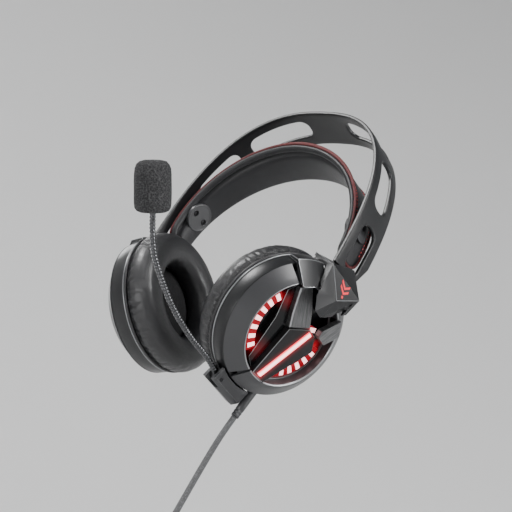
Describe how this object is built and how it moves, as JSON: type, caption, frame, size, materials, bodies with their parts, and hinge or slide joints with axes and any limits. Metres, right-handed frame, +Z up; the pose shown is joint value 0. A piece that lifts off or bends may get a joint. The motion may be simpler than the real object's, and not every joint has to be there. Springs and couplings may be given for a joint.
{
  "type": "gaming headset",
  "caption": "Over-ear gaming headset: slotted outer bow, self-adjusting padded strap, tilting cushioned cups with red lights, bendable microphone boom and braided lead.",
  "frame": {"origin": "middle of the underside of the strap at the crown, where the headset rests on a head", "axes": "+Z up towards the crown of the bow, +X towards the wearer's left (the cup with the microphone), -Y towards the wearer's front"},
  "size_m": [0.2, 0.2076, 0.4328],
  "materials": {
    "charcoal_plastic": "satin moulded",
    "satin_plastic": "soft satin",
    "gloss_black": "gloss",
    "brushed_metal": "dark brushed with bright edges",
    "leatherette": "smooth with fine pleats",
    "speaker_cloth": "fine black mesh",
    "foam": "open-cell foam",
    "steel": "plain",
    "gunmetal": "ribbed and satin",
    "red_light": "lit diffuser",
    "driver_frame": "moulded",
    "circuit_board": "solder mask",
    "cable_braid": "braided sleeve",
    "rubber": "matte moulded"
  },
  "bodies": {
    "frame": {"bow": "charcoal_plastic", "left_hinge_block": "charcoal_plastic", "left_hinge_pin": "steel", "right_hinge_block": "charcoal_plastic", "right_hinge_pin": "steel"},
    "headband": {"strap": "leatherette", "left_strap_cap": "satin_plastic", "left_cap_screw_1": "steel", "left_cap_screw_2": "steel", "left_slider_clip": "satin_plastic", "right_strap_cap": "satin_plastic", "right_cap_screw_1": "steel", "right_cap_screw_2": "steel", "right_slider_clip": "satin_plastic"},
    "left_cup": {"left_drum": "charcoal_plastic", "left_bezel": "satin_plastic", "left_face_plate": "gloss_black", "left_top_panel": "charcoal_plastic", "left_upper_blade": "brushed_metal", "left_side_blade": "brushed_metal", "left_wedge_panel": "gloss_black", "left_light_bar": "red_light", "left_upper_light_arc": "red_light", "left_lower_light_arc": "red_light", "left_hinge_lug": "charcoal_plastic", "left_baffle": "charcoal_plastic", "left_driver": "driver_frame", "left_driver_magnet": "steel", "left_led_board": "circuit_board", "left_ear_cushion": "leatherette", "left_cushion_cloth": "speaker_cloth", "mic_housing": "charcoal_plastic", "boom_pin": "steel", "strain_relief": "rubber", "lead": "cable_braid", "lead_coil": "cable_braid", "coil_tie": "rubber", "plug_lead": "cable_braid", "plug_body": "rubber", "plug_shell": "steel"},
    "right_cup": {"right_drum": "charcoal_plastic", "right_bezel": "satin_plastic", "right_face_plate": "gloss_black", "right_top_panel": "charcoal_plastic", "right_upper_blade": "brushed_metal", "right_side_blade": "brushed_metal", "right_wedge_panel": "gloss_black", "right_light_bar": "red_light", "right_upper_light_arc": "red_light", "right_lower_light_arc": "red_light", "right_hinge_lug": "charcoal_plastic", "right_baffle": "charcoal_plastic", "right_driver": "driver_frame", "right_driver_magnet": "steel", "right_led_board": "circuit_board", "right_ear_cushion": "leatherette", "right_cushion_cloth": "speaker_cloth"},
    "mic_boom": {"gooseneck": "gunmetal", "mic_capsule": "steel", "mic_foam": "foam"}
  },
  "joints": [
    {"name": "strap_slide", "type": "slide", "parent": "frame", "child": "headband", "axis": [0, 0, 1], "range_m": [0, 0.016], "stiffness_N_per_m": 200, "springref_m": -0.02},
    {"name": "left_cup_tilt", "type": "hinge", "parent": "frame", "child": "left_cup", "pos_m": [0.0945, -0.002, -0.1168], "axis": [0, -1, 0], "range_deg": [-2, 26]},
    {"name": "right_cup_tilt", "type": "hinge", "parent": "frame", "child": "right_cup", "pos_m": [-0.0945, -0.002, -0.1168], "axis": [0, 1, 0], "range_deg": [-2, 26]},
    {"name": "boom_turn", "type": "hinge", "parent": "left_cup", "child": "mic_boom", "pos_m": [0.04042, -0.01, -0.1976], "axis": [0.9304, 0, -0.3665], "range_deg": [-15, 50]}
  ]
}
